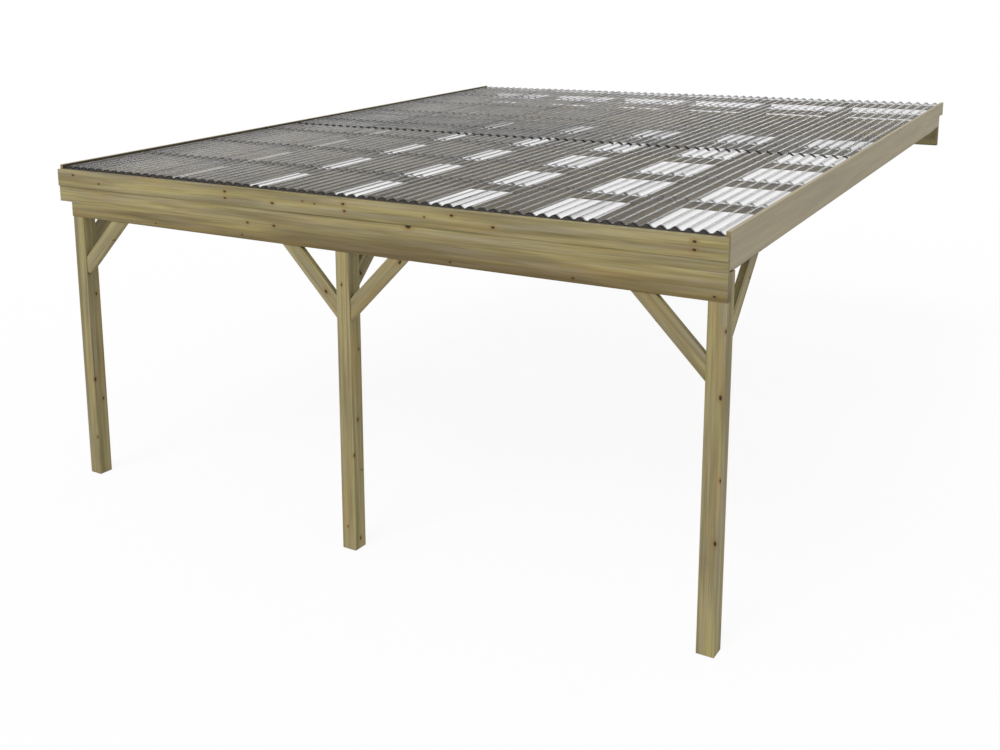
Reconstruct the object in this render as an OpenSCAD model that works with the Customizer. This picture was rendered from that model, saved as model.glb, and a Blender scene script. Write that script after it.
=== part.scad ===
// Lean-to carport: a low-pitched timber roof carried by three front posts and a wall plate.
// Millimetres, +Z up. Every piece is drawn with X = 0 at the roof's right edge, Y = 0 at the
// front of the posts and Z = 0 on the ground. at_wall() then brings the middle of the wall
// plate's rear face to the origin.

/* [Roof] */
// Width over the two verge boards
roof_w = 5850; // [5200:50:6600]
// Front of the posts to the face of the wall
wall_y = 6690; // [6000:10:7200]
// Roof carried past the face of the wall
wall_overlap = 185; // [130:5:240]
// Fall of the roof towards the front, in degrees
roof_pitch = 2.5; // [1.5:0.1:5]

/* [Posts] */
// Side of the square posts
post_w = 120; // [105:1:150]
// Height of the beam's underside above the ground
beam_z = 2270; // [2100:10:2600]
// Roof carried past the left post
left_overhang = 150; // [110:5:250]
// Air between the post heads and the verge boards
head_gap = 10; // [4:1:20]

/* [Front beam] */
// Thickness of the beam, let into the front of the posts
beam_t = 60; // [46:1:75]
// Depth of the beam
beam_h = 250; // [220:5:300]
// Depth cut away under the beam's left end
notch_h = 120; // [80:5:145]
// Full depth of the beam carried past the left post
beam_lip = 10; // [5:1:40]
// Side clearance of every rafter in its housing
housing_play = 0.5; // [0.2:0.1:2]

/* [Fascia and verge boards] */
// Thickness of the fascia board
fascia_t = 30; // [25:1:40]
// Depth of the fascia board
fascia_h = 140; // [110:5:170]
// Fascia board proud of the beam
fascia_lip = 10; // [5:1:15]
// Thickness of a verge board
verge_t = 30; // [25:1:40]
// Depth of a verge board
verge_h = 237; // [200:1:250]
// Verge boards above the top of the battens
verge_rise = 35; // [30:1:50]

/* [Wall plate] */
// Thickness of the wall plate
plate_t = 60; // [45:1:75]
// Depth of the wall plate
plate_h = 250; // [200:5:300]
// Depth of the rafter housings in the wall plate
plate_housing = 80; // [60:1:100]
// Depth of the rafter tails that lie on the wall
back_tongue = 46; // [35:1:60]

/* [Rafters and battens] */
// Thickness of a rafter
rafter_t = 45; // [40:1:55]
// Depth of a rafter
rafter_h = 190; // [180:1:220]
// Width of a batten
batten_w = 45; // [38:1:70]
// Depth of a batten
batten_h = 45; // [38:1:55]
// First batten behind the fascia board
batten_gap = 2; // [1:0.5:10]
// Last batten from the rear edge of the roof
end_inset = 65; // [30:5:120]

/* [Braces] */
// Thickness of a brace
brace_t = 45; // [35:1:46]
// Width of a brace
brace_w = 115; // [90:1:140]
// Reach of a brace along the front beam
brace_run = 500; // [350:10:700]
// Reach of a brace along a rafter
depth_run = 530; // [350:10:700]

/* [Corrugated sheets] */
// Lap of the rear row of sheets over the front row
sheet_lap = 1050; // [150:10:1600]
// Thickness of a sheet
sheet_t = 1.5; // [1:0.1:2.5]
// Clearance between two lapped sheets, and under the lowest
sheet_gap = 0.3; // [0.2:0.1:0.6]
// Least clearance between the sheets and a verge board
sheet_edge = 10; // [4:1:30]
// Front edge of the sheets behind the fascia board
sheet_setback = 10; // [5:1:25]
// Pitch of the corrugations
wave_pitch = 90; // [76:1:110]
// Height of the corrugations
wave_h = 22; // [14:1:26]

/* [Hidden] */
// Pieces of each kind; one rafter stands at each post, so their number is odd
rafter_n = 7;
batten_n = 9;
sheet_n = 6;
// Straight steps that draw one wave, and waves shared by two neighbouring sheets
wave_steps = 8;
lap_waves = 1;
// Length by which a cut runs past the face it opens
over = 1;

fascia_back = fascia_t - fascia_lip;
beam_top = beam_z + beam_h;
roof_z = beam_top + fascia_h;
roof_end = wall_y + wall_overlap;
rise = tan(roof_pitch);

// Height of the line that lies h above the batten tops, h measured square to the roof
function roof_line(y, h) = roof_z + h / cos(roof_pitch) + (y - fascia_back) * rise;

rafter_top = -batten_h;
rafter_low = rafter_top - rafter_h;
verge_low = verge_rise - verge_h;

// Left faces of the posts and of the rafters
post_x = [-roof_w + left_overhang, (-roof_w + left_overhang - post_w) / 2, -post_w];
rafter_left = post_x[0];
rafter_right = -verge_t - rafter_t;
function rafter_x(i) = rafter_left + i * (rafter_right - rafter_left) / (rafter_n - 1);
post_rafter = [0, (rafter_n - 1) / 2, rafter_n - 1];

head_z = roof_line(beam_t, verge_low) - head_gap;
step_z = roof_line(wall_y, rafter_top) - back_tongue;
plate_top = roof_line(wall_y, rafter_low) + plate_housing;
plate_z = plate_top - plate_h;
notch_x = post_x[0] - beam_lip;
notch_z = beam_z + notch_h;

batten_first = fascia_back + batten_gap;
batten_last = roof_end - end_inset - batten_w;
function batten_y(i) = batten_first + i * (batten_last - batten_first) / (batten_n - 1);

// Width of a brace measured along its plumb end cut
brace_cut = brace_w * sqrt(2);

// All sheets share one row of grid points across the roof, so that lapped waves nest
grid = wave_pitch / wave_steps;
cover_steps = floor((roof_w - 2 * verge_t - 2 * sheet_edge) / grid);
lap_steps = lap_waves * wave_steps;
sheet_steps = floor((cover_steps + (sheet_n - 1) * lap_steps) / sheet_n);
row_steps = sheet_n * sheet_steps - (sheet_n - 1) * lap_steps;
row_left = -(roof_w + row_steps * grid) / 2;
function wave(k) = wave_h / 2 * (1 - cos(360 * k / wave_steps));
front_row_y = fascia_back + sheet_setback;
sheet_l = ((roof_end - front_row_y) / cos(roof_pitch) + sheet_lap) / 2;
rear_row_y = roof_end - sheet_l * cos(roof_pitch);

rafter_nodes = [for (i = [1 : rafter_n]) str("rafter_", i)];
batten_nodes = [for (i = [1 : batten_n]) str("batten_", i)];
front_sheet_nodes = [for (i = [1 : sheet_n]) str("front_sheet_", i)];
rear_sheet_nodes = [for (i = [1 : sheet_n]) str("rear_sheet_", i)];
post_nodes = ["left_post", "middle_post", "right_post"];
front_brace_nodes = ["left_post_brace", "middle_post_left_brace", "middle_post_right_brace", "right_post_brace"];
depth_brace_nodes = ["left_rafter_brace", "middle_rafter_brace", "right_rafter_brace"];
board_nodes = ["front_beam", "wall_plate", "fascia_board", "left_verge_board", "right_verge_board"];
frame_nodes = concat(post_nodes, board_nodes, front_brace_nodes, depth_brace_nodes);
roof_nodes = concat(rafter_nodes, batten_nodes, front_sheet_nodes, rear_sheet_nodes);

timber = [0.60, 0.57, 0.42];
plastic = [0.80, 0.82, 0.82];

module at_wall() {
  translate([roof_w / 2, -wall_y, -(plate_z + plate_h / 2)]) children();
}

// Outline of [y, z] points, t thick along X from x
module side_cut(points, x, t) {
  translate([x, 0, 0]) rotate([90, 0, 90]) linear_extrude(height = t) polygon(points);
}

// Outline of [x, z] points, t thick along Y from y
module front_cut(points, y, t) {
  translate([0, y + t, 0]) rotate([90, 0, 0]) linear_extrude(height = t) polygon(points);
}

// Side of a sloping timber: plumb front end, lower half stopped at the wall, tail carried over it
function pitched_outline(front, low, top) = [
  [front, roof_line(front, low)],
  [wall_y, roof_line(wall_y, low)],
  [wall_y, step_z],
  [roof_end, step_z],
  [roof_end, roof_line(roof_end, top)],
  [front, roof_line(front, top)]
];

// Space above a sloping seat, from y0 to y1 and up past top_z
module seat(x, t, y0, y1, low, top_z) {
  side_cut([[y0, roof_line(y0, low)], [y1, roof_line(y1, low)], [y1, top_z + over], [y0, top_z + over]], x, t);
}

// Seats of all the rafters, each wider than its rafter by the housing clearance
module rafter_seats(y0, y1, top_z) {
  for (i = [0 : rafter_n - 1]) {
    seat(rafter_x(i) - housing_play, rafter_t + 2 * housing_play, y0, y1, rafter_low, top_z);
  }
}

// Post with its front half cut away for the beam and its head housed for a rafter
module post(i) {
  x = post_x[i];
  seat_x = rafter_x(post_rafter[i]) - housing_play;
  color(timber) difference() {
    translate([x, 0, 0]) cube([post_w, post_w, head_z]);
    translate([x - over, -over, beam_z]) cube([post_w + 2 * over, beam_t + over, head_z]);
    seat(seat_x, rafter_t + 2 * housing_play, beam_t - over, post_w + over, rafter_low, head_z);
  }
}

// Beam with a stepped left end, housed behind for the rafters and rebated for the verge boards
module front_beam() {
  outline = [
    [-roof_w, notch_z],
    [notch_x, notch_z],
    [notch_x, beam_z],
    [0, beam_z],
    [0, beam_top],
    [-roof_w, beam_top]
  ];
  rebate = [verge_t + over, beam_t, beam_h];
  color(timber) difference() {
    front_cut(outline, 0, beam_t);
    rafter_seats(fascia_back, beam_t + over, beam_top);
    translate([-verge_t, fascia_back, head_z]) cube(rebate);
    translate([-roof_w - over, fascia_back, head_z]) cube(rebate);
  }
}

// Plate on the wall, housed right through for the rafters and cut away at both ends for the verge boards
module wall_plate() {
  front = wall_y - plate_t;
  color(timber) difference() {
    translate([-roof_w, front, plate_z]) cube([roof_w, plate_t, plate_h]);
    rafter_seats(front - over, wall_y + over, plate_top);
    seat(-verge_t, verge_t + over, front - over, wall_y + over, verge_low, plate_top);
    seat(-roof_w - over, verge_t + over, front - over, wall_y + over, verge_low, plate_top);
  }
}

module fascia_board() {
  color(timber) translate([-roof_w, -fascia_lip, beam_top]) cube([roof_w, fascia_t, fascia_h]);
}

module verge_board(x) {
  color(timber) side_cut(pitched_outline(fascia_back, verge_low, verge_rise), x, verge_t);
}

module rafter(i) {
  color(timber) side_cut(pitched_outline(fascia_back, rafter_low, rafter_top), rafter_x(i), rafter_t);
}

// Batten laid across the rafters between the verge boards
module batten(i) {
  y = batten_y(i);
  size = [roof_w - 2 * verge_t, batten_w, batten_h];
  color(timber) translate([-roof_w + verge_t, y, roof_line(y, 0)]) rotate([roof_pitch, 0, 0])
    translate([0, 0, -batten_h]) cube(size);
}

// Brace at 45 degrees from the side of a post at x to the underside of the beam; side is 1 or -1
module front_brace(x, side) {
  foot = beam_z - brace_run;
  outline = [
    [x, foot],
    [x + side * brace_run, beam_z],
    [x + side * (brace_run - brace_cut), beam_z],
    [x, foot + brace_cut]
  ];
  color(timber) front_cut(outline, (beam_t - brace_t) / 2, brace_t);
}

// Brace at 45 degrees from the rear of a post to the underside of its rafter
module depth_brace(i) {
  toe = post_w + depth_run;
  foot = roof_line(toe, rafter_low) - depth_run;
  heel = toe - brace_cut / (1 - rise);
  outline = [
    [post_w, foot],
    [toe, roof_line(toe, rafter_low)],
    [heel, roof_line(heel, rafter_low)],
    [post_w, foot + brace_cut]
  ];
  x = rafter_x(post_rafter[i]) + (rafter_t - brace_t) / 2;
  color(timber) side_cut(outline, x, brace_t);
}

// Corrugated sheet i of a row; every second sheet and the whole rear row lap over the others
module sheet(i, row, y) {
  first = i * (sheet_steps - lap_steps);
  last = first + sheet_steps;
  under = [for (k = [first : last]) [row_left + k * grid, wave(k)]];
  upper = [for (k = [last : -1 : first]) [row_left + k * grid, wave(k) + sheet_t]];
  lift = sheet_gap + (2 * row + i % 2) * (sheet_t + sheet_gap);
  color(plastic) translate([0, y, roof_line(y, lift)]) rotate([roof_pitch, 0, 0])
    front_cut(concat(under, upper), 0, sheet_l);
}

for (i = [0 : 2]) at_wall() post(i);
at_wall() front_beam();
at_wall() wall_plate();
at_wall() fascia_board();
at_wall() verge_board(-roof_w);  // left_verge_board
at_wall() verge_board(-verge_t);  // right_verge_board
at_wall() front_brace(post_x[0] + post_w, 1);  // left_post_brace
at_wall() front_brace(post_x[1], -1);  // middle_post_left_brace
at_wall() front_brace(post_x[1] + post_w, 1);  // middle_post_right_brace
at_wall() front_brace(post_x[2], -1);  // right_post_brace
for (i = [0 : 2]) at_wall() depth_brace(i);
for (i = [0 : rafter_n - 1]) at_wall() rafter(i);
for (i = [0 : batten_n - 1]) at_wall() batten(i);
for (i = [0 : sheet_n - 1]) at_wall() sheet(i, 0, front_row_y);
for (i = [0 : sheet_n - 1]) at_wall() sheet(i, 1, rear_row_y);
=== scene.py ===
import bpy
import math
import numpy as np
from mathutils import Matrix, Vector


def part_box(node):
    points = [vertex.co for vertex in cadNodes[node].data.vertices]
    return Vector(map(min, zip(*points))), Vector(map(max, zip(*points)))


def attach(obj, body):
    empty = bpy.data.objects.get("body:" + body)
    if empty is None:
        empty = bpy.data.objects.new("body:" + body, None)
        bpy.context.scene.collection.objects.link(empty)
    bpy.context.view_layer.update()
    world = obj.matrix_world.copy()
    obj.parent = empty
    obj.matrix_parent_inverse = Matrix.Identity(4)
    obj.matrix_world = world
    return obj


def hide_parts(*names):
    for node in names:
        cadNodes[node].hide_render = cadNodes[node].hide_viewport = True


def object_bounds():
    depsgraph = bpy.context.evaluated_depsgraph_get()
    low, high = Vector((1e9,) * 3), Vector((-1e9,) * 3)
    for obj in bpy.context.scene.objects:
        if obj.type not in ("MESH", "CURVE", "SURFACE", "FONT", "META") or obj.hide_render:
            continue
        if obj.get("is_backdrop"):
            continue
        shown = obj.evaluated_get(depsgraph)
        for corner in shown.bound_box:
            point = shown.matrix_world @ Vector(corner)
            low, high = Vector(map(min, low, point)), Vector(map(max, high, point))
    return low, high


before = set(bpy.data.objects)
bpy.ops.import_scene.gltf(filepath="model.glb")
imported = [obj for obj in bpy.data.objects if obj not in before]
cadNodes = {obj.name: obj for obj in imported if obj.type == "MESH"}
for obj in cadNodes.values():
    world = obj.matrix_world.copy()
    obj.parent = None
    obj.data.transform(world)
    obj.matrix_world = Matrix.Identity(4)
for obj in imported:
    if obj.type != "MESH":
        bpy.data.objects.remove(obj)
cadLow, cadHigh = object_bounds()
roofPitch = math.radians(2.5)
print("frame loaded:", len(cadNodes), "nodes")


# How many nodes have a name with this start
def countOf(start):
    return sum(name.startswith(start) for name in cadNodes)


# A colour channel written from 0 to 255 becomes linear light by the sRGB curve
def linear(red, green, blue):
    share = np.array([red, green, blue]) / 255
    light = np.where(share <= 0.04045, share / 12.92, ((share + 0.055) / 1.055) ** 2.4)
    return tuple(float(c) for c in light) + (1.0,)


# A socket gets a link from another socket, or else a plain value
def feed(tree, socket, value):
    if isinstance(value, bpy.types.NodeSocket):
        tree.links.new(value, socket)
    else:
        socket.default_value = value


# One shader node: options are its settings, sockets are links or plain values
def put(tree, kind, options=None, sockets=None):
    node = tree.nodes.new("ShaderNode" + kind)
    for key, value in (options or {}).items():
        setattr(node, key, value)
    for key, value in (sockets or {}).items():
        feed(tree, node.inputs[key], value)
    return node


# The result of one Math node on two numbers or sockets
def calc(tree, operation, first, second=0.0):
    return put(tree, "Math", {"operation": operation}, {0: first, 1: second}).outputs[0]


# Two numbers or sockets multiplied
def times(tree, first, second):
    return calc(tree, "MULTIPLY", first, second)


# Two numbers or sockets added
def plus(tree, first, second):
    return calc(tree, "ADD", first, second)


# One minus a number or socket
def remainder(tree, value):
    return calc(tree, "SUBTRACT", 1.0, value)


# The length of a flat vector: the root of the sum of the squares
def hypotenuse(tree, first, second):
    return calc(tree, "SQRT", plus(tree, times(tree, first, first), times(tree, second, second)))


# The result of one Vector Math node: a number for a distance, dot product or length, or else a vector
def vector(tree, operation, first, second=(0, 0, 0)):
    node = put(tree, "VectorMath", {"operation": operation}, {0: first, 1: second})
    return node.outputs["Value" if operation in ("DISTANCE", "DOT_PRODUCT", "LENGTH") else "Vector"]


# The three numbers of a vector
def split(tree, value):
    return put(tree, "SeparateXYZ", {}, {0: value}).outputs


# Noise in one number, with scale times as many changes as the place has units
def noise(tree, place, scale, detail):
    return put(tree, "TexNoise", {}, {"Vector": place, "Scale": scale, "Detail": detail}).outputs[0]


# A straight ramp: 0 at low and below, 1 at high and above
def ramp(tree, value, low, high):
    sockets = {"Value": value, "From Min": low, "From Max": high}
    return put(tree, "MapRange", {"clamp": True}, sockets).outputs["Result"]


# A strip: up from 0 to 1 between the first two places, and back to 0 between the last two
def strip(tree, value, rise, full, fade, end):
    return times(tree, ramp(tree, value, rise, full), remainder(tree, ramp(tree, value, fade, end)))


# Colour between two others, by a factor from 0 to 1
def blend(tree, factor, first, second, kind="MIX"):
    node = put(tree, "Mix", {"data_type": "RGBA", "blend_type": kind})
    share = [s for s in node.inputs if s.name == "Factor" and s.type == "VALUE"][:1]
    colours = [s for s in node.inputs if s.type == "RGBA"]
    for socket, value in zip(share + colours, (factor, first, second)):
        feed(tree, socket, value)
    return [s for s in node.outputs if s.type == "RGBA"][0]


# A new material with an empty node tree
def newMaterial(name):
    material = bpy.data.materials.new(name)
    material.use_nodes = True
    material.node_tree.nodes.clear()
    return material, material.node_tree


# A shader goes to the output of its tree
def finishTree(tree, shader, kind="OutputMaterial"):
    tree.links.new(shader.outputs[0], put(tree, kind).inputs[0])


# Pressure treated pine
pine = {
    "yellow": linear(170, 158, 106),
    "khaki": linear(138, 127, 88),
    "orange": linear(172, 146, 92),
    "olive": linear(110, 98, 58),
    "grey": linear(158, 149, 132),
    "line": linear(96, 82, 48),
    "knotRing": linear(140, 104, 54),
    "knotHeart": linear(50, 40, 24),
    "end": linear(142, 128, 94),
}
# Streaks of the grain: changes a metre along it, changes a metre across it, detail
grain = {
    "broad": (0.8, 13, 2),
    "pale": (1.1, 24, 3),
    "dark": (0.9, 34, 3),
    "narrow": (1.4, 95, 4),
    "fibre": (7, 430, 3),
    "warm": (1.6, 9, 2),
}
# Growth rings: metres apart on the sides and on the ends, how they bend, and where on a sine they show
rings = {
    "apart": 0.017, "endApart": 0.007, "slant": 0.6, "wander": 0.12, "roundKnot": 0.02,
    "line": (0.3, 1.0), "endLine": (-0.2, 1.0), "endStrength": 0.4, "endFacing": 0.85,
}
# Knots: cells a metre along and a radian round the timber, radius in metres, edges in radii
knot = {
    "cellsAlong": 2.4, "cellsRound": 0.9, "least": 0.006, "spread": 0.007, "drawnOut": 0.6,
    "heart": (0.6, 1.0), "halo": (0.9, 2.7), "haloStrength": 0.55, "farOff": 9.0,
}
# Surface of the sawn and planed timber
planed = {
    "rough": 0.5, "roughSpread": 0.25, "gloss": 0.3,
    "fibreRelief": 0.6, "lineRelief": 0.5, "bump": 0.3, "bumpDepth": 0.0015,
}


# Knots run out from the middle of a timber like spokes: on a plane of length and angle each cell has one
# random spoke, and the distance to it is the length apart and the radius times the angle apart
def spokeKnots(tree, local, seed, share):
    part = split(tree, local)
    angle = calc(tree, "ARCTAN2", part[1], part[2])
    radius = hypotenuse(tree, part[1], part[2])
    cellX = plus(tree, times(tree, part[0], knot["cellsAlong"]), seed * 7.3)  # each timber its own cells
    cellY = times(tree, angle, knot["cellsRound"])
    spot = put(tree, "CombineXYZ", {}, {0: cellX, 1: cellY}).outputs[0]
    cells = put(tree, "TexVoronoi", {"voronoi_dimensions": "2D"}, {"Vector": spot, "Scale": 1.0}).outputs
    chance = put(tree, "SeparateColor", {}, {0: cells["Color"]}).outputs
    place = split(tree, cells["Position"])
    alongApart = calc(tree, "DIVIDE", calc(tree, "SUBTRACT", cellX, place[0]), knot["cellsAlong"])
    turnApart = calc(tree, "DIVIDE", calc(tree, "SUBTRACT", cellY, place[1]), knot["cellsRound"])
    apart = hypotenuse(tree, alongApart, times(tree, turnApart, radius))
    size = plus(tree, times(tree, chance[1], knot["spread"]), knot["least"])
    missing = times(tree, calc(tree, "LESS_THAN", chance[0], 1 - share), knot["farOff"])
    return plus(tree, calc(tree, "DIVIDE", apart, size), missing)


# Knots at given places: the distance from each over the knot's own radius, with the part of it along
# the grain shortened, so that the knots are drawn out that way
def placedKnots(tree, local, turn, middle, places, ratio):
    stretch = Vector((knot["drawnOut"], 1, 1))
    flat = vector(tree, "MULTIPLY", local, stretch)
    for place, size in places:
        heart = (turn @ (place - middle)) * stretch
        apart = vector(tree, "DISTANCE", flat, heart)
        ratio = calc(tree, "MINIMUM", ratio, calc(tree, "DIVIDE", apart, size))
    return ratio


# The grain runs along grainAxis: coordinates are taken from the middle of the timber's box and turned so
# that this axis becomes X, then noise stretched along X gives bands, growth lines and fibres, and the ends
# show rings instead. A calm under 1 evens the bands out, and tone is the brightness of the whole timber.
# A side shade, where asked, is a painted shade on the faces that look the given way.
def timberMaterial(name, grainAxis, low, high, seed, knots=(), knotShare=0.4, tone=0.84, grey=0.0,
                   calm=1.0, darkLow=None, paintedShadeSide=None):
    material, tree = newMaterial(name)
    middle = (low + high) / 2
    axis = Vector(grainAxis).normalized()
    turn = axis.rotation_difference(Vector((1, 0, 0)))
    coordinates = put(tree, "TexCoord").outputs["Object"]
    turned = {"Vector": coordinates, "Rotation": turn.to_euler(), "Location": -(turn @ middle)}
    local = put(tree, "Mapping", {}, turned).outputs[0]
    ownPlace = ((seed * 3.71) % 7, (seed * 1.37) % 5, (seed * 2.19) % 3)  # each timber its own noise
    moved = vector(tree, "ADD", local, ownPlace)
    streak = {}
    for kind, (along, across, detail) in grain.items():
        scaled = put(tree, "Mapping", {}, {"Vector": moved, "Scale": (along, across, across)}).outputs[0]
        streak[kind] = noise(tree, scaled, 1.0, detail)

    ratio = spokeKnots(tree, local, seed, knotShare)
    ratio = placedKnots(tree, local, turn, middle, knots, ratio)
    heart = remainder(tree, ramp(tree, ratio, *knot["heart"]))
    halo = remainder(tree, ramp(tree, ratio, *knot["halo"]))

    # Growth rings: sine bands across the grain, bent by slow noise and pushed apart beside a knot
    part = split(tree, moved)
    bend = plus(tree, times(tree, streak["broad"], rings["wander"]), times(tree, halo, rings["roundKnot"]))
    depth = plus(tree, plus(tree, part[1], times(tree, part[2], rings["slant"])), bend)
    lines = calc(tree, "SINE", times(tree, depth, 2 * math.pi / rings["apart"]))
    lines = ramp(tree, lines, *rings["line"])
    endLines = calc(tree, "SINE", times(tree, depth, 2 * math.pi / rings["endApart"]))
    endLines = ramp(tree, endLines, *rings["endLine"])

    # Colours laid over each other, each with the places that it covers and its strength there
    yellowing = ramp(tree, streak["broad"], 0.51 - 0.09 / calm, 0.51 + 0.09 / calm)
    colour = blend(tree, yellowing, pine["khaki"], pine["yellow"])
    layers = [
        (ramp(tree, streak["warm"], 0.54, 0.70), 0.5 * calm, "orange"),
        (ramp(tree, streak["pale"], 0.51 - 0.07 / calm, 0.56 + 0.09 / calm), 0.45, "grey"),
        (ramp(tree, streak["dark"], 0.48, 0.68), 0.5 * calm, "olive"),
        (ramp(tree, streak["narrow"], 0.53, 0.68), 0.36 * calm, "line"),
        (lines, 0.09, "line"),
        (ramp(tree, streak["fibre"], 0.5, 0.75), 0.16, "line"),
    ]
    for cover, strength, shade in layers:
        colour = blend(tree, times(tree, cover, strength), colour, pine[shade])
    colour = blend(tree, grey, colour, pine["grey"])
    colour = blend(tree, times(tree, halo, knot["haloStrength"]), colour, pine["knotRing"])
    colour = blend(tree, heart, colour, pine["knotHeart"])

    # End grain shows where the surface faces along the grain
    normal = put(tree, "NewGeometry").outputs["Normal"]
    alongGrain = calc(tree, "ABSOLUTE", vector(tree, "DOT_PRODUCT", normal, axis))
    isEnd = calc(tree, "GREATER_THAN", alongGrain, rings["endFacing"])
    endColour = blend(tree, times(tree, endLines, rings["endStrength"]), pine["end"], pine["line"])
    colour = blend(tree, isEnd, colour, endColour)

    # Brightness, less towards the foot where asked, and a painted shade on the faces that look one given
    # way where asked
    shade = (tone, tone, tone, 1.0)
    if darkLow:
        wander = times(tree, calc(tree, "SUBTRACT", streak["broad"], 0.5), darkLow["wander"])
        height = plus(tree, split(tree, coordinates)[2], wander)
        lowShade = tuple(c * tone for c in darkLow["shade"]) + (1.0,)
        rise = ramp(tree, height, low.z + darkLow["from"], low.z + darkLow["to"])
        shade = blend(tree, rise, lowShade, shade)
    if paintedShadeSide:
        toward = vector(tree, "DOT_PRODUCT", normal, paintedShadeSide["facing"])
        sideShade = paintedShadeSide["shade"] + (1.0,)
        shade = blend(tree, ramp(tree, toward, paintedShadeSide["from"], paintedShadeSide["to"]), shade, sideShade)
    colour = blend(tree, 1.0, colour, shade, "MULTIPLY")

    rough = plus(tree, times(tree, streak["narrow"], planed["roughSpread"]), planed["rough"])
    fibreRelief = times(tree, streak["fibre"], planed["fibreRelief"])
    relief = plus(tree, fibreRelief, times(tree, lines, planed["lineRelief"]))
    grooves = {"Height": relief, "Strength": planed["bump"], "Distance": planed["bumpDepth"]}
    bump = put(tree, "Bump", {}, grooves).outputs[0]
    sockets = {"Base Color": colour, "Roughness": rough, "Normal": bump}
    sockets["Specular IOR Level"] = planed["gloss"]
    finishTree(tree, put(tree, "BsdfPrincipled", {}, sockets))
    return material


# Every timber keeps its construction solid and gets a grain direction: along X for what lies across
# the roof, along the slope for what falls with it, upright for posts and at 45 degrees for braces
slope = (0, math.cos(roofPitch), math.sin(roofPitch))
grainOf = {
    "front_beam": (1, 0, 0), "wall_plate": (1, 0, 0), "fascia_board": (1, 0, 0),
    "left_verge_board": slope, "right_verge_board": slope,
    "left_post": (0, 0, 1), "middle_post": (0, 0, 1), "right_post": (0, 0, 1),
    "left_post_brace": (1, 0, 1), "middle_post_right_brace": (1, 0, 1),
    "middle_post_left_brace": (-1, 0, 1), "right_post_brace": (-1, 0, 1),
    "left_rafter_brace": (0, 1, 1), "middle_rafter_brace": (0, 1, 1), "right_rafter_brace": (0, 1, 1),
}
timberLook = {
    "front_beam": {"darkLow": {"from": -0.009, "to": 0.171, "wander": 0.12, "shade": (0.56, 0.48, 0.37)}},
    # the left verge board's inner face gets a painted shade, standing in for the shadow on it
    "left_verge_board": {
        "tone": 1.0, "grey": 0.55, "calm": 0.6, "knotShare": 0.2,
        "paintedShadeSide": {"facing": (1, 0, 0), "from": 0.5, "to": 0.9, "shade": (0.22, 0.2, 0.18)},
    },
    "right_verge_board": {"tone": 0.97, "grey": 0.55, "calm": 0.55, "knotShare": 0.0},
    # the wall plate is darker, a painted shade for the shade under the roof at the back
    "wall_plate": {"tone": 0.66},
}
# Rafters and battens are darker and greyer, a painted shade for the shade under the sheets; the two end
# rafters are lighter, a painted light for the pale grey seen past them through the sheets
rafterCount = countOf("rafter_")
for number in range(1, rafterCount + 1):
    grainOf["rafter_%d" % number] = slope
    timberLook["rafter_%d" % number] = {"tone": 1.0 if number in (1, rafterCount) else 0.6, "grey": 0.5}
for number in range(1, countOf("batten_") + 1):
    grainOf["batten_%d" % number] = (1, 0, 0)
    timberLook["batten_%d" % number] = {"tone": 0.6, "grey": 0.5}

# Knots in their places: the face, the distances along it and up it from the box's low corner, the radius
knotsOn = {
    "fascia_board": [
        ("front", 0.19, 0.10, 0.010), ("front", 0.50, 0.05, 0.008), ("front", 1.90, 0.10, 0.010),
        ("front", 1.90, 0.05, 0.009), ("front", 2.37, 0.05, 0.010), ("front", 2.66, 0.09, 0.006),
        ("front", 2.77, 0.08, 0.006), ("front", 3.03, 0.10, 0.010), ("front", 3.04, 0.05, 0.009),
        ("front", 3.72, 0.07, 0.006), ("front", 3.94, 0.10, 0.010), ("front", 4.26, 0.05, 0.010),
        ("front", 5.64, 0.10, 0.010), ("front", 5.64, 0.05, 0.010)],
    "front_beam": [
        ("front", 2.11, 0.13, 0.009), ("front", 2.37, 0.13, 0.010), ("front", 3.58, 0.24, 0.017),
        ("front", 1.13, 0.03, 0.006), ("front", 2.05, 0.03, 0.006), ("front", 3.92, 0.03, 0.007),
        ("front", 4.84, 0.03, 0.007), ("front", 5.77, 0.03, 0.007)],
    "left_post": [
        ("right", 0.08, 1.60, 0.010), ("right", 0.08, 0.67, 0.010), ("right", 0.01, 0.86, 0.013),
        ("front", 0.11, 0.34, 0.009), ("left", 0.05, 1.25, 0.010), ("rear", 0.06, 1.74, 0.011)],
    "middle_post": [
        ("right", 0.06, 1.01, 0.011), ("right", 0.01, 0.75, 0.011), ("right", 0.06, 0.08, 0.011),
        ("right", 0.09, 0.61, 0.006), ("right", 0.09, 1.54, 0.008), ("front", 0.05, 0.18, 0.006),
        ("front", 0.05, 2.03, 0.008), ("left", 0.08, 1.33, 0.010), ("rear", 0.07, 0.89, 0.011)],
    "right_post": [
        ("front", 0.10, 1.69, 0.012), ("front", 0.10, 0.76, 0.012), ("front", 0.12, 2.10, 0.009),
        ("front", 0.12, 1.17, 0.009), ("left", 0.04, 1.44, 0.010), ("rear", 0.06, 0.62, 0.011)],
    "middle_post_left_brace": [("front", 0.40, 0.19, 0.012)],
    "middle_post_right_brace": [("front", 0.44, 0.48, 0.012)],
}


# A knot's place in the frame: the plane of its face, and its distances from the low corner of the box
def knotPlace(low, high, face, along, up):
    x = {"left": low.x, "right": high.x}.get(face, low.x + along)
    y = {"front": low.y, "rear": high.y}.get(face, low.y + along)
    return Vector((x, y, low.z + up))


edge = {"joinWithin": 0.00001, "width": 0.003, "steps": 2, "sharperThan": math.radians(40)}


# Edges of a timber rounded a little: the corners of the solid's loose faces are joined first, and then
# every edge sharper than the angle is bevelled in a few steps
def easeEdges(piece):
    joined = piece.modifiers.new("joined corners", "WELD")
    joined.merge_threshold = edge["joinWithin"]
    eased = piece.modifiers.new("eased edges", "BEVEL")
    eased.width = edge["width"]
    eased.segments = edge["steps"]
    eased.limit_method = "ANGLE"
    eased.angle_limit = edge["sharperThan"]
    eased.harden_normals = True


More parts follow.
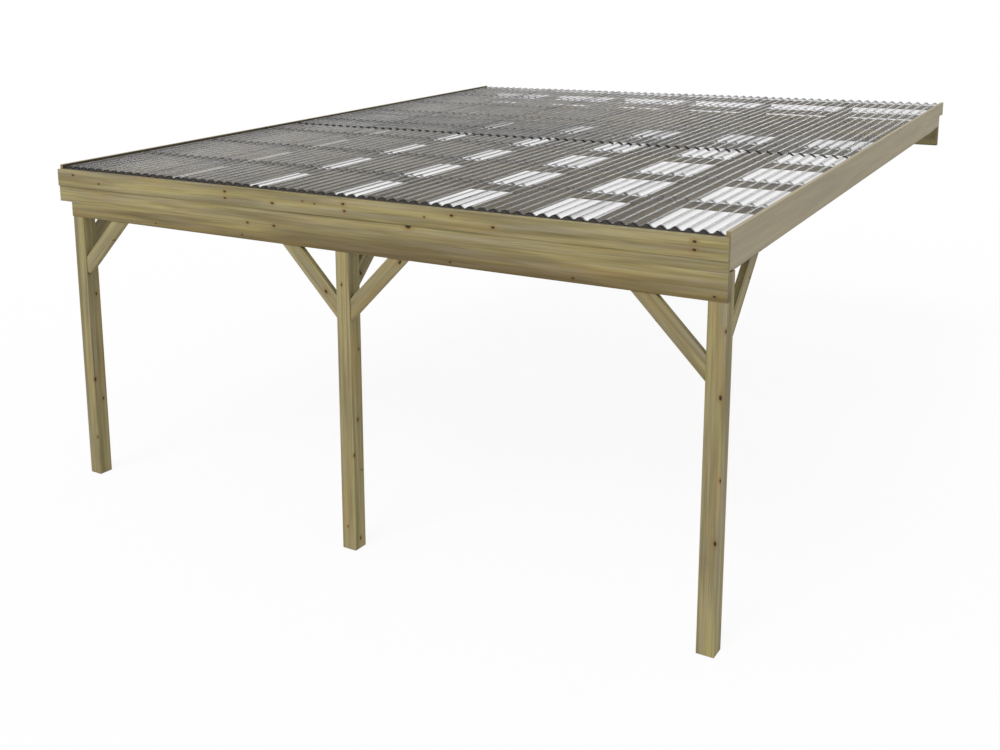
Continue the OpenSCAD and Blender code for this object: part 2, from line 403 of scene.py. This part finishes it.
for seed, (name, axis) in enumerate(grainOf.items(), 1):
    low, high = (Vector(corner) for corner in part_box(name))
    look = dict(timberLook.get(name, {}))
    if name in knotsOn:
        look["knotShare"] = 0.0
        look["knots"] = [(knotPlace(low, high, *spot[:3]), spot[3]) for spot in knotsOn[name]]
    piece = cadNodes[name]
    piece.data.materials.clear()
    piece.data.materials.append(timberMaterial("pine_" + name, axis, low, high, seed, **look))
    easeEdges(piece)
print("timbers finished:", len(grainOf))

# Smoky clear corrugated plastic: its colours and its surface. Body is the plastic's own colour; shade is a
# painted shade for the flanks, crest a painted highlight, the pale grey after it a painted reflection at
# low angles, under a painted light on the underside, and dark the painted shadow over the battens and the
# dark cut lines
sheetLook = {
    "body": linear(144, 144, 145),
    "shade": linear(66, 64, 62),
    "crest": linear(126, 125, 124),
    "paintedReflection": linear(168, 168, 168),
    "under": linear(235, 235, 235),
    "dark": linear(36, 35, 34),
    "dustScale": 2.2, "dustDetail": 4.0, "rough": 0.18, "roughSpread": 0.15, "gloss": 0.2,
}
# Strips of a wave, which is 0 in the trough and a half on the crest: painted shade on the two flanks and a
# painted highlight on the crest
sheetStrip = {
    "shade": (0.08, 0.40, 0.45, 0.49),
    "crest": (0.46, 0.49, 0.56, 0.61),
    "flank": (0.57, 0.62, 0.62, 0.78),
}
# Battens from one's front to the next one's front, and the strip of that length that they touch
battenLow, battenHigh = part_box("batten_1")
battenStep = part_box("batten_2")[0].y - battenLow.y
battenShare = (battenHigh.y - battenLow.y) / battenStep
battenStrip = (0.0, 0.1 * battenShare, 0.9 * battenShare, battenShare)
# From where to where each grows: the first three on a scale from 0, seen square on, to 1, seen edge on,
# then the upper side by how far up it faces, the sheet by its distance from a cut end, and dust by noise
sheetTurn = {
    "flank": (0.50, 0.66), "edgeOn": (0.75, 0.92), "paintedReflection": (0.76, 0.94),
    "upper": (-0.35, -0.05), "uncut": (0.75, 1.0), "dust": (0.3, 0.8),
}
# How much of what is behind each hides, and how far the painted shadow over a batten darkens the sheet's
# own colour
sheetHides = {
    "plain": 0.09, "dust": 0.05, "paintedReflection": 0.3, "shade": 0.04, "shadeEdgeOn": 0.25, "crest": 0.56,
    "flank": 0.30, "under": 0.22, "batten": 0.35, "cut": 0.9,
}
battenShadowDarkens = 0.7


# The first texture coordinate counts waves, so its fraction tells the place on a wave. What the sheet hides
# is a sum: the plain sheet and its dust, a painted reflection where it is seen flat along, painted shade on
# the flank before the crest, most where it is seen edge on, a painted highlight as a grey line along the
# crest, painted shade on the flank after it, dark at a low angle only, the underside painted pale for the
# light that comes through, and a painted shadow where a batten lies against it.
# The second coordinate is the distance from a cut end over the width of the dark line there.
def sheetMaterial():
    material, tree = newMaterial("smoky_corrugated_sheet")
    source = put(tree, "TexCoord").outputs
    place = split(tree, source["UV"])
    spot = calc(tree, "FRACT", place[0])
    facing = put(tree, "LayerWeight", {}, {"Blend": 0.5}).outputs["Facing"]
    upward = split(tree, put(tree, "NewGeometry").outputs["Normal"])[2]
    dust = noise(tree, source["Object"], sheetLook["dustScale"], sheetLook["dustDetail"])
    # a painted shadow where a batten lies under the sheet
    fromBatten = calc(tree, "SUBTRACT", split(tree, source["Object"])[1], battenLow.y)
    batten = strip(tree, calc(tree, "FRACT", calc(tree, "DIVIDE", fromBatten, battenStep)), *battenStrip)
    # painted shade on the flank before the crest
    shade = strip(tree, spot, *sheetStrip["shade"])
    # a painted highlight: a grey line along each crest
    crest = strip(tree, spot, *sheetStrip["crest"])
    # painted shade on the flank after the crest, at a low angle only
    flank = times(tree, strip(tree, spot, *sheetStrip["flank"]), ramp(tree, facing, *sheetTurn["flank"]))
    # a painted reflection: pale grey that covers more where the sheet is seen at a low angle
    paintedReflection = times(tree, ramp(tree, facing, *sheetTurn["paintedReflection"]), remainder(tree, shade))
    # painted light: the underside pale for the light that comes through
    under = remainder(tree, ramp(tree, upward, *sheetTurn["upper"]))
    cut = remainder(tree, ramp(tree, place[1], *sheetTurn["uncut"]))

    dusty = times(tree, ramp(tree, dust, *sheetTurn["dust"]), sheetHides["dust"])
    alpha = plus(tree, dusty, sheetHides["plain"])
    edgeOn = times(tree, ramp(tree, facing, *sheetTurn["edgeOn"]), sheetHides["shadeEdgeOn"])
    alpha = plus(tree, alpha, times(tree, shade, plus(tree, edgeOn, sheetHides["shade"])))
    covers = {"paintedReflection": paintedReflection, "crest": crest, "flank": flank, "under": under, "batten": batten}
    for part, cover in covers.items():
        alpha = plus(tree, alpha, times(tree, cover, sheetHides[part]))
    alpha = calc(tree, "MAXIMUM", alpha, times(tree, cut, sheetHides["cut"]))

    # Colour: the plastic's body, then painted shade on the flanks, a painted highlight on the crests, a
    # painted reflection at low angles, painted light on the underside, and the painted shadow over the
    # battens and the dark cut lines
    colour = blend(tree, calc(tree, "MAXIMUM", shade, flank), sheetLook["body"], sheetLook["shade"])
    for part in ("crest", "paintedReflection", "under"):
        colour = blend(tree, covers[part], colour, sheetLook[part])
    for cover in (times(tree, batten, battenShadowDarkens), cut):
        colour = blend(tree, cover, colour, sheetLook["dark"])
    rough = plus(tree, times(tree, dust, sheetLook["roughSpread"]), sheetLook["rough"])
    sockets = {"Base Color": colour, "Roughness": rough, "Alpha": alpha}
    sockets["Specular IOR Level"] = sheetLook["gloss"]
    finishTree(tree, put(tree, "BsdfPrincipled", {}, sockets))
    return material


# A mesh object from points and faces, smooth where asked, with a texture coordinate for each point
def newPiece(name, points, faces, material, smooth=True, texture=None):
    mesh = bpy.data.meshes.new(name)
    mesh.from_pydata(points.tolist(), [], faces.tolist())
    if texture is not None:
        corner = np.empty(len(mesh.loops), dtype=np.int32)
        mesh.loops.foreach_get("vertex_index", corner)
        layer = mesh.uv_layers.new(name="waves")
        layer.data.foreach_set("uv", texture[corner].astype(np.float32).ravel())
    mesh.polygons.foreach_set("use_smooth", np.full(len(mesh.polygons), smooth))
    mesh.materials.append(material)
    mesh.update()
    piece = bpy.data.objects.new(name, mesh)
    bpy.context.scene.collection.objects.link(piece)
    return piece


# Quads between neighbouring columns and rows of a grid of points numbered row by row
def gridFaces(rows, columns):
    corner = (np.arange(rows - 1)[:, None] * columns + np.arange(columns - 1)[None, :]).ravel()
    return np.stack([corner, corner + 1, corner + columns + 1, corner + columns], axis=1)


# Corrugated sheets, in metres: solid and solidSteps are the construction solids' thickness and steps
# in a wave, and the cuts are the widths of the dark lines at the ends
wave = {
    "pitch": 0.09, "height": 0.022, "thick": 0.0012, "steps": 16, "solid": 0.0015, "solidSteps": 8,
    "frontCut": 0.022, "seamCut": 0.06, "hiddenCut": 0.004,
}
sheetsInRow = countOf("front_sheet_")
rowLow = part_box("front_sheet_1")[0]
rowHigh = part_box("front_sheet_%d" % sheetsInRow)[1]
cutLean = (wave["height"] + wave["solid"]) * math.sin(roofPitch)  # an end's top lies this far forward


# Height over the trough after so many waves: half the wave's height times one minus the cosine
def waveHeight(waves):
    return wave["height"] / 2 * (1 - np.cos(2 * math.pi * waves))


# One sheet: the wave carried up the slope from the node's own corner, as an upper and a lower skin with a
# rim between them, on the same row of waves as the construction solids
def corrugatedSheet(node, material):
    low, high = (np.array(corner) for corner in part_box(node))
    columns = int(round((high[0] - low[0]) / wave["pitch"] * wave["steps"])) + 1
    across = np.linspace(low[0], high[0], columns)
    firstWave = round((low[0] - rowLow[0]) / wave["pitch"] * wave["solidSteps"]) / wave["solidSteps"]
    waves = firstWave + np.arange(columns) / wave["steps"]
    length = (high[1] - low[1] - cutLean) / math.cos(roofPitch)
    isFront = node.startswith("front")
    lowCut = wave["frontCut"] if isFront else wave["seamCut"]
    highCut = wave["hiddenCut"] if isFront else wave["seamCut"]
    along = np.array([0, lowCut, 2 * lowCut, length / 2, length - 2 * highCut, length - highCut, length])
    fromEnd = np.minimum(np.minimum(along / lowCut, (length - along) / highCut), 2)
    gridX = np.broadcast_to(across, (len(along), columns))
    gridS = np.broadcast_to(along[:, None], gridX.shape)

    # A point goes up the slope by its distance along, and square to the slope by the wave and the lift
    def skin(lift):
        up = np.broadcast_to(waveHeight(waves) + lift, gridX.shape)
        y = low[1] + cutLean + gridS * math.cos(roofPitch) - up * math.sin(roofPitch)
        z = low[2] + gridS * math.sin(roofPitch) + up * math.cos(roofPitch)
        return np.stack([gridX, y, z], axis=2).reshape(-1, 3)

    points = np.concatenate([skin(wave["thick"]), skin(0.0)])
    count = gridX.size
    top = gridFaces(len(along), columns)
    bottom = top[:, ::-1] + count
    number = np.arange(count).reshape(gridX.shape)
    rim = np.concatenate([number[0, :-1], number[:-1, -1], number[-1, :0:-1], number[:0:-1, 0]])
    after = np.roll(rim, -1)
    faces = np.concatenate([top, bottom, np.stack([after, rim, rim + count, after + count], axis=1)])
    gridU = np.broadcast_to(waves, gridX.shape)
    gridV = np.broadcast_to(fromEnd[:, None], gridX.shape)
    texture = np.tile(np.stack([gridU, gridV], axis=2).reshape(-1, 2), (2, 1))
    piece = newPiece("looks_" + node, points, faces, material, True, texture)
    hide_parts(node)
    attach(piece, "root")


# Dark foam in the waves over the front batten, which also stands in for the shade along the sheets' front
# ends
filler = {
    "deep": 0.024, "clear": 0.0006, "thinnest": 0.0001, "pores": 320.0, "poreDepth": 0.001,
    "dark": linear(58, 55, 52), "light": linear(74, 70, 66),
}


# Foam: fine noise between two near colours, and the same noise as shallow pits
def fillerMaterial():
    material, tree = newMaterial("filler_foam")
    pores = noise(tree, put(tree, "TexCoord").outputs["Object"], filler["pores"], 2.0)
    colour = blend(tree, ramp(tree, pores, 0.35, 0.7), filler["dark"], filler["light"])
    pits = {"Height": pores, "Strength": 0.4, "Distance": filler["poreDepth"]}
    bump = put(tree, "Bump", {}, pits).outputs[0]
    sockets = {"Base Color": colour, "Roughness": 0.9, "Normal": bump}
    finishTree(tree, put(tree, "BsdfPrincipled", {}, sockets))
    return material


# One strip over the whole row: its head follows the underside of the sheets, its foot is the batten's top,
# and four lines of points, foot and head at the front and at the back, are joined round
def frontFiller():
    columns = int(round((rowHigh[0] - rowLow[0]) / wave["pitch"] * wave["steps"])) + 1
    across = np.linspace(rowLow[0], rowHigh[0], columns)
    crest = waveHeight((across - rowLow[0]) / wave["pitch"]) / math.cos(roofPitch)
    middleY = (battenLow[1] + battenHigh[1]) / 2

    # Foot and head at one depth: the trough's height there, and the wave over it
    def lines(y):
        trough = rowLow[2] + (y - rowLow[1] - cutLean) * math.tan(roofPitch)
        foot = np.full(columns, trough - filler["clear"])
        head = np.maximum(foot + crest, foot + filler["thinnest"])
        return [np.column_stack([across, np.full(columns, y), height]) for height in (foot, head)]

    frontFoot, frontHead = lines(middleY - filler["deep"] / 2)
    backFoot, backHead = lines(middleY + filler["deep"] / 2)
    points = np.concatenate([frontFoot, frontHead, backHead, backFoot])
    loop = np.arange(len(points)).reshape(4, columns)
    after = np.roll(loop, -1, axis=0)
    sides = [np.stack([a[:-1], a[1:], b[1:], b[:-1]], axis=1) for a, b in zip(loop, after)]
    ends = np.array([loop[::-1, 0], loop[:, -1]])
    piece = newPiece("front_filler", points, np.concatenate(sides + [ends]), fillerMaterial(), False)
    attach(piece, "root")


clearSheet = sheetMaterial()
for row in ("front", "rear"):
    for number in range(1, sheetsInRow + 1):
        corrugatedSheet("%s_sheet_%d" % (row, number), clearSheet)
frontFiller()
print("corrugated sheets finished")


# 1 where the camera sees a surface straight, in a gloss or through glass, and 0 where it only gives light
def seenByCamera(tree):
    path = put(tree, "LightPath").outputs
    seen = calc(tree, "MAXIMUM", path["Is Camera Ray"], path["Is Glossy Ray"])
    return calc(tree, "MAXIMUM", seen, path["Is Transmission Ray"])


# Pale floor: mostly plain white to look at, but matt enough near the object to keep its shadow, and all
# white from fadeTo on
floorLook = {
    "half": 60.0, "forward": 3.0, "below": 0.002, "grey": 0.85, "glow": 0.88,
    "fadeFrom": 6.0, "fadeTo": 13.0,
}
corners = np.array([[-1, -1], [1, -1], [1, 1], [-1, 1]]) * floorLook["half"]
level = np.full(len(corners), cadLow.z - floorLook["below"])
floorPoints = np.column_stack([corners[:, 0], corners[:, 1] - floorLook["forward"], level])
floorMaterial, tree = newMaterial("pale_floor")
glow = put(tree, "Emission", {}, {"Color": (1, 1, 1, 1), "Strength": 1.0}).outputs[0]
matt = put(tree, "BsdfDiffuse", {}, {"Color": (floorLook["grey"],) * 3 + (1,)}).outputs[0]
away = vector(tree, "LENGTH", put(tree, "TexCoord").outputs["Object"])
fade = ramp(tree, away, floorLook["fadeFrom"], floorLook["fadeTo"])
white = plus(tree, times(tree, fade, 1 - floorLook["glow"]), floorLook["glow"])
finishTree(tree, put(tree, "MixShader", {}, {0: times(tree, seenByCamera(tree), white), 1: matt, 2: glow}))
floor = newPiece("floor", floorPoints, np.array([[0, 1, 2, 3]]), floorMaterial, False)
floor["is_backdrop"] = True

# Sky: white to look at, and a little dimmer as light
skyLight = 0.75
world = bpy.data.worlds.new("studio")
bpy.context.scene.world = world
world.use_nodes = True
tree = world.node_tree
tree.nodes.clear()
strength = plus(tree, times(tree, seenByCamera(tree), 1 - skyLight), skyLight)
finishTree(tree, put(tree, "Background", {}, {"Color": (1, 1, 1, 1), "Strength": strength}), "OutputWorld")

# Two soft suns: the key from the front, and a low one from behind that draws the wave crests
suns = {
    "key": {"energy": 1.45, "spread": 25, "heading": (0.05, 0.8, -0.85)},
    "crests": {"energy": 0.15, "spread": 14, "heading": (0.22, -0.9, -0.36)},
}
for name, look in suns.items():
    lampData = bpy.data.lights.new(name, "SUN")
    lampData.energy = look["energy"]
    lampData.angle = math.radians(look["spread"])
    lamp = bpy.data.objects.new(name, lampData)
    lamp.rotation_euler = Vector(look["heading"]).to_track_quat("-Z", "Y").to_euler()
    bpy.context.scene.collection.objects.link(lamp)
bpy.context.scene.cycles.transparent_max_bounces = 40  # a low ray crosses many waves

# Camera: place in metres, angles in degrees, focal length in pixels of a picture pictureWidth wide
cameraLook = {
    "place": (5.019, -12.816, 1.247), "yaw": 30.69, "tilt": 10.56, "focal": 1120.0, "pictureWidth": 1000,
    "shift": -0.15, "sensor": 36, "farthest": 200,
}
cameraData = bpy.data.cameras.new("camera")
cameraData.sensor_fit = "HORIZONTAL"
cameraData.sensor_width = cameraLook["sensor"]
cameraData.lens = cameraLook["sensor"] * cameraLook["focal"] / cameraLook["pictureWidth"]
cameraData.shift_y = cameraLook["shift"]
cameraData.clip_end = cameraLook["farthest"]
camera = bpy.data.objects.new("camera", cameraData)
camera.location = cameraLook["place"]
camera.rotation_euler = (math.radians(90 - cameraLook["tilt"]), 0, math.radians(cameraLook["yaw"]))
bpy.context.scene.collection.objects.link(camera)
bpy.context.scene.camera = camera
bpy.context.scene.view_settings.view_transform = "Standard"
print("stage finished")

low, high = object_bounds()
